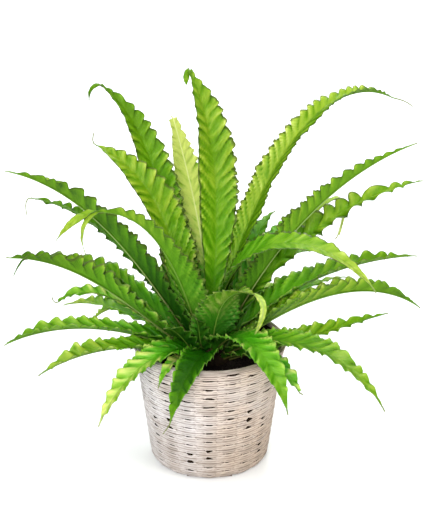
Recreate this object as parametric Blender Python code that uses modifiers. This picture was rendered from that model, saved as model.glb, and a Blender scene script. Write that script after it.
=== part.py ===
"""A wavy-edged bird's-nest fern in a grower's pot that stands inside a whitewashed split-wood basket.

Metres, +Z up. The origin is the centre of the basket's underside, and the plant's front is -Y.
Turns are counted anticlockwise from +X, seen from above: 90 is the back and 270 the front.
"""

import math

import bmesh
import bpy
from mathutils import Vector
from mathutils.geometry import interpolate_bezier

# Fit
GAP = 0.0003                # between pieces that touch
ROUND_STEPS = 40            # facets round a turned piece

# Basket: weavers make the wall, flat stakes stand inside it, a hoop closes the top
BASKET_HEIGHT = 0.158
RIM_RADIUS = 0.0937
FOOT_RADIUS = 0.0745        # where the straight side meets the rounded foot
FOOT_ROUND = 0.015
FOOT_STEPS = 4
WALL = 0.004
HOOP_HEIGHT = 0.0035
HOOP_OVERHANG = 0.0008
STAKES = 20
STAKE_SETS = 4              # the stakes are in sets round the basket's floor
FLOOR_RADIUS = 0.045
STAKE_THICK = 0.0012
STAKE_CLEARANCE = 0.0004
STAKE_STEP = 0.0018         # run of the stakes' step over the wall's foot

# Grower's pot and potting mix
POT_REST = 0.0017           # height of the pot's underside, just clear of the stakes
POT_HEIGHT = 0.136
POT_TOP_RADIUS = 0.078
POT_FOOT_RADIUS = 0.054
POT_WALL = 0.0012
POT_LIP = 0.003
SOIL_TOP = 0.134
SOIL_CROWN = 0.002          # how much the middle of the soil stands above its edge

# Root crown: a dome that every frond leaves squarely
CROWN_CENTRE = 0.124
CROWN_RADIUS = 0.030

# Frond blades
BLADE_THICK = 0.0009
BLADE_LENGTHWISE = 11       # facets along a blade
BLADE_ACROSS = 2
STALK_WIDTH = 0.0045
TIP_WIDTH = 0.0016
WIDEN_BY = 0.40             # share of the length at which a blade is at its full width
TAPER = 2.4

# One row for each frond, in degrees and millimetres:
# base turn, tip turn, reach, rise, base lean, tip lean, width, roll, fold
FRONDS = (
    # tall, in the middle
    (150, 150, 151, 336, 28, 62, 38, -30, 14),      # far_left_spire
    (70, 112, 64, 359, 7, 28, 44, 0, 10),           # middle_facing
    (88, 115, 106, 288, 17, 20, 33, -8, 1),         # middle_yellow
    (22, 30, 262, 304, 11, 118, 34, 5, 14),         # long_right_arch
    (172, 168, 137, 275, 18, 70, 42, -35, 14),      # left_spire_dark
    (222, 194, 145, 212, 20, 105, 44, 35, 14),      # left_underside
    (358, 358, 238, 288, 25, 66, 42, -38, 20),      # right_folded
    # left
    (172, 172, 244, 240, 34, 79, 38, 20, 24),       # left_high
    (158, 158, 240, 186, 37, 90, 24, 0, 16),        # left_narrow
    (186, 186, 239, 152, 50, 88, 42, 20, 22),       # left_broad
    (168, 168, 201, 121, 46, 100, 36, 0, 18),       # left_bright
    (176, 172, 188, 73, 52, 132, 12, 0, 16),        # left_hooked
    (160, 160, 193, 52, 56, 108, 30, 0, 16),        # left_tucked
    (190, 190, 247, 48, 58, 112, 32, 0, 18),        # left_level
    (206, 206, 220, 34, 60, 112, 30, 0, 16),        # left_low
    # front
    (228, 225, 181, -15, 48, 146, 34, 0, 12),       # front_left_drop
    (236, 240, 118, 22, 60, 138, 16, 0, 12),        # front_sliver
    (270, 252, 146, -8, 46, 162, 26, 0, 12),        # front_sweep
    (300, 300, 179, 15, 34, 155, 40, 0, 10),        # front_broad
    (318, 315, 149, 15, 56, 130, 26, 0, 12),        # front_narrow
    (322, 322, 253, 19, 50, 140, 38, 0, 12),        # front_right_drop
    (287, 312, 80, 110, 26, 100, 32, 0, 4),         # front_curl
    # right
    (342, 350, 214, 85, 66, 70, 32, 12, 14),        # right_bright
    (5, 5, 258, 69, 50, 125, 40, -15, 24),          # right_level
    (18, 18, 271, 111, 42, 94, 36, 0, 20),          # right_broad
    (326, 331, 216, 145, 6, 140, 38, 22, 10),       # right_arch
    (32, 30, 197, 76, 56, 95, 20, 0, 16),           # right_sliver
    (17, 12, 262, 221, 27, 79, 33, 20, 14),         # right_high
    (30, 33, 194, 131, 32, 200, 22, 0, 16),         # right_hanging
    # back
    (106, 100, 150, 130, 40, 98, 32, 0, 16),        # back_mid
    (64, 70, 190, 60, 50, 110, 34, 0, 16),          # back_right_a
    (120, 120, 200, 60, 46, 110, 34, 0, 16),        # back_left_a
    (50, 50, 200, 90, 42, 105, 32, 0, 16),          # back_right_b
    (108, 106, 215, 10, 58, 130, 36, 0, 16),        # back_low_a
    (86, 82, 220, -10, 58, 140, 34, 0, 16),         # back_low_b
    (66, 62, 215, 20, 60, 120, 34, 0, 16),          # back_low_c
    (138, 135, 215, -5, 56, 132, 34, 0, 16),        # back_low_d
    (44, 42, 200, 40, 60, 110, 28, 0, 16),          # back_right_c
    (68, 72, 85, 235, 26, 20, 24, 0, 14),           # back_spire_a
    (138, 142, 120, 270, 42, 30, 28, 0, 14),        # back_spire_b
    (44, 49, 164, 150, 28, 82, 26, 0, 14),          # back_right_high
    (118, 122, 120, 200, 34, 60, 32, 0, 14),        # back_left_high
    (78, 78, 120, 170, 38, 76, 28, 0, 14),          # back_short
    (56, 60, 165, 148, 38, 88, 32, 0, 16),          # back_right_d
    # short, round the heart
    (218, 222, 70, 70, 44, 70, 26, 0, 14),          # heart_left
    (244, 250, 45, 80, 34, 46, 20, 0, 14),          # heart_front
)

# How far a frond holds its first and its last direction, where it doesn't bend evenly
HOLDS = {26: (1.7, 0.6)}

# Colours
WHITEWASH = (0.72, 0.62, 0.52, 1)
WHITEWASH_RIM = (0.66, 0.56, 0.46, 1)
BARE_WOOD = (0.30, 0.19, 0.11, 1)
POT_PLASTIC = (0.015, 0.014, 0.013, 1)
SOIL = (0.020, 0.013, 0.008, 1)
RHIZOME = (0.050, 0.028, 0.014, 1)
LEAF = (0.105, 0.300, 0.022, 1)


def material(name, colour, roughness):
    made = bpy.data.materials.new(name)
    made.use_nodes = True
    shader = made.node_tree.nodes["Principled BSDF"]
    shader.inputs["Base Color"].default_value = colour
    shader.inputs["Roughness"].default_value = roughness
    made.diffuse_color = colour
    return made


def piece(name, bm, finish, collection):
    """A named object made from bm, which is freed."""
    mesh = bpy.data.meshes.new(name)
    bm.to_mesh(mesh)
    bm.free()
    made = bpy.data.objects.new(name, mesh)
    made.data.materials.append(finish)
    collection.objects.link(made)
    return made


def chain(points, closed=False):
    """A bmesh line through (radius, height) points in the XZ plane."""
    bm = bmesh.new()
    verts = [bm.verts.new((radius, 0, height)) for radius, height in points]
    for start, end in zip(verts, verts[1:] + verts[:1] if closed else verts[1:]):
        bm.edges.new((start, end))
    return bm


def turn_round(made):
    """Turns a profile all the way round Z."""
    screw = made.modifiers.new("turn", "SCREW")
    screw.steps = screw.render_steps = ROUND_STEPS
    screw.use_merge_vertices = True
    screw.merge_threshold = 1e-5
    screw.use_smooth_shade = True


def thicken(made, thickness, offset):
    solid = made.modifiers.new("thickness", "SOLIDIFY")
    solid.thickness = thickness
    solid.offset = offset
    solid.use_even_offset = True


def foot_arc(inset):
    """Quarter round from the straight side down to the floor, set in from the wall's outside."""
    centre = FOOT_RADIUS - FOOT_ROUND
    radius = FOOT_ROUND - inset
    quarter = [0.5 * math.pi * step / FOOT_STEPS for step in range(FOOT_STEPS + 1)]
    return [(centre + radius * math.cos(a), FOOT_ROUND - radius * math.sin(a)) for a in quarter]


def basket_wall(collection, finish):
    slope = (RIM_RADIUS - FOOT_RADIUS) / (BASKET_HEIGHT - FOOT_ROUND)
    top = BASKET_HEIGHT - HOOP_HEIGHT - GAP - WALL * slope
    made = piece("basket_wall", chain([(RIM_RADIUS, top)] + foot_arc(0)), finish, collection)
    turn_round(made)
    thicken(made, WALL, -1)


def basket_hoop(collection, finish):
    outer = RIM_RADIUS + HOOP_OVERHANG
    inner = RIM_RADIUS - WALL - STAKE_CLEARANCE - STAKE_THICK - HOOP_OVERHANG
    low = BASKET_HEIGHT - HOOP_HEIGHT
    ease = HOOP_OVERHANG
    points = [
        (inner + ease, BASKET_HEIGHT),
        (outer - ease, BASKET_HEIGHT),
        (outer, BASKET_HEIGHT - ease),
        (outer, low),
        (inner, low),
        (inner, BASKET_HEIGHT - ease),
    ]
    turn_round(piece("basket_hoop", chain(points, closed=True), finish, collection))


def basket_floor(collection, finish):
    """The disc where the stakes cross, under the pot."""
    bm = bmesh.new()
    bmesh.ops.create_circle(bm, cap_ends=True, segments=ROUND_STEPS, radius=FLOOR_RADIUS)
    bmesh.ops.translate(bm, verts=bm.verts, vec=(0, 0, STAKE_THICK / 2))
    thicken(piece("basket_floor", bm, finish, collection), STAKE_THICK, 0)


def basket_stakes(number, collection, finish):
    """A set of flat stakes that leave the floor's edge side by side and rise inside the wall."""
    inset = WALL + STAKE_CLEARANCE + STAKE_THICK / 2
    top = BASKET_HEIGHT - HOOP_HEIGHT - GAP - STAKE_THICK / 2
    low = foot_arc(inset)[-1]
    step = (low[0] - STAKE_STEP, low[1])
    rise = [step] + foot_arc(inset)[::-1] + [(RIM_RADIUS - inset, top)]
    disc = step[0] - STAKE_STEP
    ends = 2 * STAKES // STAKE_SETS
    turns = [math.pi / STAKES * (number * ends + end) for end in range(ends)]
    bm = bmesh.new()
    inner, edge = (
        [bm.verts.new((radius * math.cos(t), radius * math.sin(t), STAKE_THICK / 2)) for t in turns]
        for radius in (FLOOR_RADIUS + GAP, disc)
    )
    for corners in zip(inner, edge, edge[1:], inner[1:]):
        bm.faces.new(corners)
    reached = [bm.edges.get(pair) for pair in zip(edge[::2], edge[1::2])]
    at = disc
    for radius, height in rise:
        grown = bmesh.ops.extrude_edge_only(bm, edges=reached)["geom"]
        verts = [item for item in grown if isinstance(item, bmesh.types.BMVert)]
        for vert in verts:
            vert.co.x *= radius / at
            vert.co.y *= radius / at
            vert.co.z = height
        at = radius
        reached = [
            item for item in grown
            if isinstance(item, bmesh.types.BMEdge) and all(v in verts for v in item.verts)
        ]
    bmesh.ops.recalc_face_normals(bm, faces=bm.faces)
    thicken(piece(f"basket_stakes_{number + 1}", bm, finish, collection), STAKE_THICK, 0)


def grower_pot(collection, finish):
    top = POT_REST + POT_HEIGHT
    points = [
        (POT_TOP_RADIUS + POT_LIP, top - POT_LIP),
        (POT_TOP_RADIUS + POT_LIP, top),
        (POT_TOP_RADIUS, top),
        (POT_FOOT_RADIUS, POT_REST),
        (0, POT_REST),
    ]
    made = piece("grower_pot", chain(points), finish, collection)
    turn_round(made)
    thicken(made, POT_WALL, -1)


def pot_inside(height):
    """Inner radius of the pot's wall at a height, less the gap to the soil."""
    slope = (POT_TOP_RADIUS - POT_FOOT_RADIUS) / POT_HEIGHT
    return POT_FOOT_RADIUS + slope * (height - POT_REST) - 1.1 * POT_WALL - GAP


def potting_mix(collection, finish):
    low = POT_REST + POT_WALL + GAP
    edge = SOIL_TOP - SOIL_CROWN
    points = [
        (0, SOIL_TOP),
        (CROWN_RADIUS, SOIL_TOP),
        (pot_inside(edge), edge),
        (pot_inside(low) - POT_WALL, low),
        (0, low),
    ]
    turn_round(piece("potting_mix", chain(points), finish, collection))


def root_crown(collection, finish):
    """The part of a ball that stands above the soil."""
    low = SOIL_TOP + GAP
    widest = math.acos((low - CROWN_CENTRE) / CROWN_RADIUS)
    steps = 4
    arc = [widest * step / steps for step in range(steps + 1)]
    points = [(CROWN_RADIUS * math.sin(a), CROWN_CENTRE + CROWN_RADIUS * math.cos(a)) for a in arc]
    turn_round(piece("root_crown", chain(points + [(0, low)]), finish, collection))


def heading(turn, lean):
    """Unit vector that leans from straight up, towards turn."""
    flat = math.sin(lean)
    return Vector((flat * math.cos(turn), flat * math.sin(turn), math.cos(lean)))


def spine_of(base_turn, tip_turn, reach, rise, base_lean, tip_lean, holds, count):
    """Points along a frond's midrib, from the root crown to the tip."""
    centre = Vector((0, 0, CROWN_CENTRE))
    start = heading(base_turn, base_lean)
    base = centre + start * (CROWN_RADIUS + GAP)
    tip = Vector((reach * math.cos(tip_turn), reach * math.sin(tip_turn), CROWN_CENTRE + rise))
    end = heading(2 * tip_turn - base_turn, tip_lean)
    turning = start.angle(end)
    handle = (tip - base).length * 2 / 3 * math.tan(turning / 4) / math.sin(turning / 2)
    leaving, arriving = base + start * handle * holds[0], tip - end * handle * holds[1]
    return interpolate_bezier(base, leaving, arriving, tip, count)


def half_width(share, width):
    """Half of the blade's width at a share of its length: a stalk, a long strap, a drawn-out tip."""
    grown = min(1, share / WIDEN_BY)
    strap = STALK_WIDTH + (width - STALK_WIDTH) * grown * grown * (3 - 2 * grown)
    return 0.5 * max(TIP_WIDTH, strap * math.cos(0.5 * math.pi * share ** TAPER))


def frond(name, row, holds, collection, finish):
    base_turn, tip_turn, base_lean, tip_lean, roll, fold = (
        math.radians(row[i]) for i in (0, 1, 4, 5, 7, 8)
    )
    reach, rise, width = (row[i] / 1000 for i in (2, 3, 6))
    steps = BLADE_LENGTHWISE
    spine = spine_of(base_turn, tip_turn, reach, rise, base_lean, tip_lean, holds, steps + 1)
    bm = bmesh.new()
    bmesh.ops.create_grid(bm, x_segments=BLADE_ACROSS, y_segments=steps, size=1)
    for vert in bm.verts:
        across = vert.co.x
        at = round((vert.co.y + 1) / 2 * steps)
        share = at / steps
        along = (spine[min(at + 1, steps)] - spine[max(at - 1, 0)]).normalized()
        turn = base_turn + 2 * (tip_turn - base_turn) * share
        flat = Vector((-math.sin(turn), math.cos(turn), 0))
        up = along.cross(flat).normalized()
        side = up.cross(along)
        tilt = roll * min(1, 2.5 * share)
        margin = side * math.cos(tilt) + up * math.sin(tilt)
        upper = up * math.cos(tilt) - side * math.sin(tilt)
        half = half_width(share, width)
        out = half * math.cos(fold) * across
        lift = half * math.sin(fold) * abs(across)
        vert.co = spine[at] + margin * out + upper * lift
    bmesh.ops.recalc_face_normals(bm, faces=bm.faces)
    thicken(piece(name, bm, finish, collection), BLADE_THICK, 0)


def build():
    for old in list(bpy.data.objects):
        bpy.data.objects.remove(old, do_unlink=True)
    collection = bpy.data.collections.new("fern_in_basket")
    bpy.context.scene.collection.children.link(collection)

    basket_wall(collection, material("whitewashed_weave", WHITEWASH, 0.75))
    basket_hoop(collection, material("whitewashed_hoop", WHITEWASH_RIM, 0.75))
    bare = material("bare_stakes", BARE_WOOD, 0.8)
    basket_floor(collection, bare)
    for number in range(STAKE_SETS):
        basket_stakes(number, collection, bare)
    grower_pot(collection, material("pot_plastic", POT_PLASTIC, 0.45))
    potting_mix(collection, material("potting_mix", SOIL, 1.0))
    root_crown(collection, material("rhizome", RHIZOME, 0.9))
    leaf = material("leaf", LEAF, 0.4)
    for number, row in enumerate(FRONDS, 1):
        frond(f"frond_{number:02d}", row, HOLDS.get(number, (1, 1)), collection, leaf)


build()
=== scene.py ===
"""The looks of a wavy-edged bird's-nest fern in a whitewashed split-wood basket.

Metres, +Z up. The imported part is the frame, and every piece made here stands for one or more of its
nodes. The plant's front is -Y. Turns are counted anticlockwise from +X, seen from above.
"""

import math
from functools import partial, partialmethod
from types import SimpleNamespace

import bpy
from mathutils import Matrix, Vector
from mathutils.geometry import interpolate_bezier


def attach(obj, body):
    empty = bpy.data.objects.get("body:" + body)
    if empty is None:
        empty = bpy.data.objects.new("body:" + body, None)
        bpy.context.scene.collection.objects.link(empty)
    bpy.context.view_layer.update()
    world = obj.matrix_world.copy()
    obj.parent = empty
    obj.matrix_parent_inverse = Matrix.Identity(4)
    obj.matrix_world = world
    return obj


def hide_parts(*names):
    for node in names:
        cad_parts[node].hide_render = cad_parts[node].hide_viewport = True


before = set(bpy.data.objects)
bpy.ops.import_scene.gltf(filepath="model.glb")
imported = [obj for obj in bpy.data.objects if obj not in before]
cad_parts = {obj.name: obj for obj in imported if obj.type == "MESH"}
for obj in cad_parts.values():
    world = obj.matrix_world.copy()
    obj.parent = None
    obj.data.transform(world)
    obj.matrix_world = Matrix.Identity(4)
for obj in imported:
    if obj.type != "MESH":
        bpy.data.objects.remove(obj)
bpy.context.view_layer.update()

MM = 0.001
TURN = 2 * math.pi

# Root crown and fronds, as the part's source has them
CROWN_CENTRE = 0.124
CROWN_RADIUS = 0.030
GAP = 0.0003
TIP_WIDTH = 0.0016

# The blades' own finish
STALK_WIDTH = 0.009         # a stalk with the narrow wings that run down it
MIDRIB = 0.0014             # the midrib's radius at its root
WIDEN_BY = 0.17             # share of the length at which a blade is at its full width
TAPER = 2.3                 # how late a blade narrows: more is later
FULLER = 1.27               # a ruffled blade against the flat one that the frame has
STEP = 0.0018               # a facet's length along a blade
ACROSS = 7                  # facets from the midrib to the margin
BLADE_THICK = 0.0005
SPINE_STEPS = 96
TAIL_STEPS = 16
ROOTED = 0.004              # how far a stalk runs on into the root crown
SLANT = 1.3                 # how far a pleat runs on towards the tip for its way out from the midrib
MOST_TWIST = math.radians(8)

# One row for each frond, in degrees and millimetres: base turn, tip turn, reach, rise, base lean,
# tip lean, width, roll and fold. Then its colour: the tone, 0 dark to 1 pale, how much paler it is
# at the tip and at the root, and how much riper than most. The tones carry painted light and shade
# as well, and the back and heart fronds are darker at the root as painted shade.
FRONDS = (
    # tall, in the middle
    (150, 150, 151, 336, 28, 62, 38, -30, 14, 0.5, -0.15, 0, 0.05),  # far_left_spire
    (70, 112, 64, 359, 7, 28, 44, 0, 10, 0.55, 0, 0.1, 0.2),  # middle_facing
    (88, 115, 106, 288, 17, 20, 33, -8, 1, 1.05, 0, -0.4, -0.05),  # middle_yellow
    (22, 30, 262, 304, 11, 118, 34, 5, 14, 0.7, 0, -0.05, 0.4),  # long_right_arch
    (172, 168, 137, 275, 18, 70, 42, -35, 14, 0.6, -0.05, 0.1, 0.15),  # left_spire_dark
    (222, 194, 145, 212, 20, 105, 44, 35, 14, 0.45, 0.1, 0.25, 0.1),  # left_underside
    (358, 358, 238, 288, 25, 66, 42, -38, 20, 0.4, 0, -0.1, 0.3),  # right_folded
    # left
    (172, 172, 244, 240, 34, 79, 38, 36, 26, 0.2, 0.1, -0.2, 0.1),  # left_high
    (158, 158, 240, 186, 37, 90, 24, 0, 16, 0.4, -0.15, -0.45, -0.05),  # left_narrow
    (186, 186, 239, 152, 50, 88, 42, 20, 22, 0.5, -0.35, 0.2, 0.05),  # left_broad
    (168, 168, 201, 121, 46, 100, 36, 0, 18, 0.55, -0.15, 0.1, -0.05),  # left_bright
    (176, 172, 188, 73, 52, 132, 17, -20, 16, 0.9, -0.35, 0, -0.35),  # left_hooked
    (160, 160, 193, 52, 56, 108, 30, 0, 16, 0.35, 0.5, 0, 0),  # left_tucked
    (190, 190, 247, 48, 58, 112, 32, 0, 18, 0.65, -0.35, -0.3, 0),  # left_level
    (206, 206, 220, 34, 60, 112, 30, 0, 16, 0.55, 0.1, -0.4, 0.15),  # left_low
    # front
    (228, 225, 181, -15, 48, 146, 34, 0, 12, 0.8, 0.1, -0.45, -0.2),  # front_left_drop
    (236, 240, 118, 22, 60, 138, 16, 0, 12, 1.05, -0.35, 0, -0.55),  # front_sliver
    (270, 252, 146, -8, 46, 162, 34, 0, 12, -0.1, 0.5, 0.3, -0.2),  # front_sweep
    (300, 300, 179, 15, 34, 155, 40, 0, 10, 0.65, -0.05, 0.05, -0.3),  # front_broad
    (318, 315, 149, 15, 56, 130, 26, 0, 12, 0.6, 0.16, 0.1, -0.6),  # front_narrow
    (322, 322, 253, 19, 50, 140, 38, 0, 12, 0.55, 0.05, 0.15, 0.1),  # front_right_drop
    (284, 313, 78, 118, 22, 104, 46, -18, 4, 0.8, 0, -0.15, -0.25),  # front_curl
    # right
    (342, 350, 214, 85, 66, 70, 32, 12, 14, 0.6, -0.15, 0, 0.2),  # right_bright
    (5, 5, 258, 69, 50, 125, 40, -15, 24, 0.6, -0.35, 0.1, 0.35),  # right_level
    (18, 18, 271, 111, 42, 94, 36, 0, 20, 0.5, -0.1, 0.2, 0.1),  # right_broad
    (326, 331, 216, 145, 6, 140, 38, 22, 10, 0.55, 0.3, 0.15, 0),  # right_arch
    (32, 30, 197, 76, 56, 95, 20, 0, 16, 0.55, 0.16, 0, -0.15),  # right_sliver
    (17, 12, 262, 221, 27, 79, 33, 20, 14, 0.5, 0.1, 0.25, 0.15),  # right_high
    (30, 33, 194, 131, 32, 200, 22, 0, 16, 0.45, 0.5, 0, 0.2),  # right_hanging
    # back
    (106, 100, 150, 130, 40, 98, 32, 0, 16, 0.4, 0.16, -0.3, 0),  # back_mid
    (64, 70, 190, 60, 50, 110, 34, 0, 16, 0.45, 0.16, -0.3, 0),  # back_right_a
    (120, 120, 200, 60, 46, 110, 34, 0, 16, 0.5, 0.16, -0.3, 0),  # back_left_a
    (50, 50, 200, 90, 42, 105, 32, 0, 16, 0.4, 0.16, 0.1, -0.4),  # back_right_b
    (108, 106, 215, 10, 58, 130, 36, 0, 16, 0.6, 0.16, -0.3, 0),  # back_low_a
    (86, 82, 220, -10, 58, 140, 34, 0, 16, 0.5, 0.16, -0.3, 0),  # back_low_b
    (66, 62, 215, 20, 60, 120, 34, 0, 16, 0.65, 0.16, -0.3, 0),  # back_low_c
    (138, 135, 215, -5, 56, 132, 34, 0, 16, 0.45, 0.16, -0.3, 0),  # back_low_d
    (44, 42, 200, 40, 60, 110, 28, 0, 16, 0.55, 0.16, -0.3, 0),  # back_right_c
    (68, 72, 85, 235, 26, 20, 26, 0, 14, 0.4, 0.16, 0.35, 0.15),  # back_spire_a
    (138, 142, 120, 270, 42, 30, 28, 0, 14, 1.05, 0.16, -0.3, -0.5),  # back_spire_b
    (44, 49, 164, 150, 28, 82, 26, 0, 14, 0.85, -0.35, -0.3, -0.4),  # back_right_high
    (118, 122, 120, 200, 34, 60, 32, 0, 14, 0.45, 0.16, -0.3, 0),  # back_left_high
    (78, 78, 120, 170, 38, 76, 28, 0, 14, 0.5, 0.16, -0.3, 0),  # back_short
    (56, 60, 165, 148, 38, 88, 32, 0, 16, 0.4, 0.05, -0.3, -0.3),  # back_right_d
    # short, round the heart
    (218, 222, 70, 70, 44, 70, 26, 0, 14, 0.05, 0.05, -0.3, -0.1),  # heart_left
    (244, 250, 45, 80, 34, 46, 20, 0, 14, 0.2, -0.2, -0.25, 0.05),  # heart_front
)

# What else a frond's blade has of its own, against the others
OWN = {
    1: dict(
        taper=2.9, tip_width=0.004, lobes=1.0, tip_fold=0.15, widen_by=0.35, pleat_length=0.015,
        pleat_height=0.0017,
    ),
    2: dict(
        taper=4.5, tip_width=0.009, widen_by=0.66, pleat_length=0.015, pleat_height=0.0014,
        ruffle_height=0.0018, pale_rib=0.4,
    ),
    3: dict(
        taper=5, tip_width=0.016, lobes=0.9, lobes_from=0.1, tip_fold=0, widen_by=0.28,
        pleat_length=0.012, pleat_height=0.0008, ruffle_height=0.0022,
    ),
    # right_tone: painted shade on the right half where it is below nought, painted light where above
    4: dict(
        lobes=1.2, tip_fold=0.25, widen_by=0.3, pleat_length=0.012, pleat_height=0.0013,
        ruffle_height=0.0012, right_tone=-0.3,
    ),
    5: dict(taper=3, lobes=0.9, pleat_length=0.015, pleat_height=0.0017),
    6: dict(taper=1.7, pleat_length=0.015),
    7: dict(taper=1.2, lobes=0.8, tip_fold=0.4, pleat_length=0.014, ruffle_height=0.0022, pale_rib=0.6),
    # frond 8's right half is painted paler, as painted light
    8: dict(taper=1.8, lobes=1, tip_fold=0.55, pale_rib=0.9, right_tone=0.2),
    9: dict(taper=2.2, lobes=1.2, lobes_from=0.3, ruffle_height=0.0026, pale_rib=0.5),
    10: dict(lobes=0.8, tip_fold=0.35, pleat_height=0.0032, pale_rib=0.6),
    11: dict(lobes=1.5, ruffle_height=0.002),
    12: dict(taper=4, tip_width=0.005, pale_rib=0.5),
    14: dict(lobes=0.7, tip_fold=0.3, pale_rib=0.4),
    15: dict(lobes=0.7, tip_fold=0.3),
    16: dict(taper=1.7, ruffle_height=0.0024),
    18: dict(taper=1.5, lobes=0.8, ruffle_height=0.003),
    19: dict(taper=1.6, ruffle_height=0.003),
    20: dict(taper=4, tip_width=0.006, ruffle_height=0.0026),
    21: dict(taper=1.6, lobes=0.6),
    22: dict(taper=4, tip_width=0.008, pleat_length=0.011, pleat_height=0.0009, ruffle_height=0.0024),
    23: dict(taper=1.6, lobes=1, tip_fold=0),
    24: dict(taper=1.6, lobes=1.2, tip_fold=0.5),
    25: dict(taper=1.7, lobes=1),
    26: dict(taper=1.5, pleat_height=0.0009, ruffle_height=0.0018),
    28: dict(
        taper=1.9, lobes=2.4, lobes_from=0.12, tip_fold=0.1, pleat_length=0.021, ruffle_height=0.001,
        pale_rib=0.4,
    ),
    29: dict(taper=1.25, tip_width=0.0045, lobes=0, pleat_height=0.0008, ruffle_height=0.0006),
    45: dict(rib=0.0008),
    46: dict(rib=0.0008),
}

# How far a frond holds its first and its last direction, where it doesn't bend evenly
HOLDS = {26: (1.7, 0.6)}

# Drawn-out tips: the tail's last bend and its end, in millimetres from the blade's tip
TAILS = {
    3: ((-1, 0, 2), (-2, 0, 3)),
    4: ((16, 0, -2), (26, 0, -12)),
    5: ((-7, 0, 2), (-3, 0, 16)),
    7: ((3, 0, 1), (5, 0, 2)),
    8: ((-2, 0, 0), (-4, 0, 0)),
    9: ((-9, -2, -3), (-5, -4, -23)),
    10: ((-3, 0, 0), (-4, 0, 1)),
    12: ((-7, 0, -3), (-8, 0, 6)),
    18: ((-5, -2, -8), (-9, -3, -14)),
    20: ((2, -1, -3), (5, -2, -3)),
    29: ((-1, 0, -3), (-3, 0, -6)),
}
PLAIN_TAIL = 0.004          # length of any other tip, which runs straight on and droops

# Hooked and second tips, as narrow blades of their own: frond, share of the length where the tip leaves,
# width, bend and end in millimetres from there, and how much paler it is
FORKS = (
    (1, 0.985, 6.0, (-16, -1, 3), (-17, -2, -17), 0.0),
    (2, 0.985, 8.0, (-6, -2, 5), (-5, -3, -14), 0.0),
    (6, 0.970, 10.0, (-27, -4, -5), (-47, -6, -33), 0.15),
    (6, 0.930, 6.0, (-34, -3, -20), (-22, -5, -52), 0.20),
    (10, 0.920, 3.0, (-10, -3, -6), (-17, -5, -20), 0.0),
    (22, 0.985, 8.0, (19, -5, -16), (1, -9, -50), 0.10),
)

# Basket, pot and soil, as the part's source has them
BASKET_HEIGHT = 0.158
RIM_RADIUS = 0.0937
FOOT_RADIUS = 0.0745
FOOT_ROUND = 0.015
WALL = 0.004
HOOP_HEIGHT = 0.0035
STAKES = 20
POT_REST = 0.0017
POT_HEIGHT = 0.136
POT_TOP_RADIUS = 0.078
POT_FOOT_RADIUS = 0.054
POT_WALL = 0.0012
POT_LIP = 0.003
SOIL_TOP = 0.134

# The basket's own finish
WEAVERS = 26                # rounds of the weave, from the foot to the hoop
ROUND_STEPS = 10            # facets from one stake to the next
FIBRE_STEPS = 14            # facets over a weaver's rounded front
STAKE_WIDTH = 0.009
STAKE_THICK = 0.0008
SPLINTS = 9                 # splints of the floor each way
SPLINT_THICK = 0.0005
FLOOR_RADIUS = 0.061
CRUMBS = 230000.0           # crumbs on a square metre of the soil's top
SCALES = 26000.0            # scales on a square metre of the root crown
IN_AND_OUT = 0.0007         # how far a weaver swings each side of the wall's middle
SLIT_SHORT = 0.0009         # least and most gap between weavers that pass in front of the same stake
SLIT_TALL = 0.0056
FOOT_RUN = FOOT_ROUND * math.pi / 2     # along the wall's outside: round the foot, up the side, and both
SIDE_RUN = math.hypot(BASKET_HEIGHT - FOOT_ROUND, RIM_RADIUS - FOOT_RADIUS)
WALL_RUN = FOOT_RUN + SIDE_RUN
POT_SLOPE = (POT_TOP_RADIUS - POT_FOOT_RADIUS) / POT_HEIGHT


# -------------------- node trees written as expressions


class Term:
    """A socket in a node tree that arithmetic can be done with."""

    def __init__(self, graph, socket):
        self.graph = graph
        self.socket = socket

    def is_vector(self):
        return self.socket.type == "VECTOR"

    def _two(self, operation, other, swap=False):
        pair = (other, self) if swap else (self, other)
        kind = "ShaderNodeVectorMath" if self.is_vector() else "ShaderNodeMath"
        return self.graph.term(kind, *pair, operation=operation)

    __add__ = partialmethod(_two, "ADD")
    __radd__ = partialmethod(_two, "ADD")
    __sub__ = partialmethod(_two, "SUBTRACT")
    __rsub__ = partialmethod(_two, "SUBTRACT", swap=True)
    __truediv__ = partialmethod(_two, "DIVIDE")
    __pow__ = partialmethod(_two, "POWER")
    __gt__ = partialmethod(_two, "GREATER_THAN")
    __lt__ = partialmethod(_two, "LESS_THAN")
    cross = partialmethod(_two, "CROSS_PRODUCT")
    dot = partialmethod(_two, "DOT_PRODUCT")

    def __mul__(self, other):
        if isinstance(other, Term) and other.is_vector():
            return self._two("MULTIPLY", other) if self.is_vector() else other * self
        if self.is_vector():
            return self.graph.term("ShaderNodeVectorMath", self, operation="SCALE", Scale=other)
        return self._two("MULTIPLY", other)

    __rmul__ = __mul__

    def __neg__(self):
        return self * -1

    def unit(self):
        return self.graph.term("ShaderNodeVectorMath", self, operation="NORMALIZE")

    def part(self, axis):
        return self.graph.term("ShaderNodeSeparateXYZ", self, out=axis)


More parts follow.
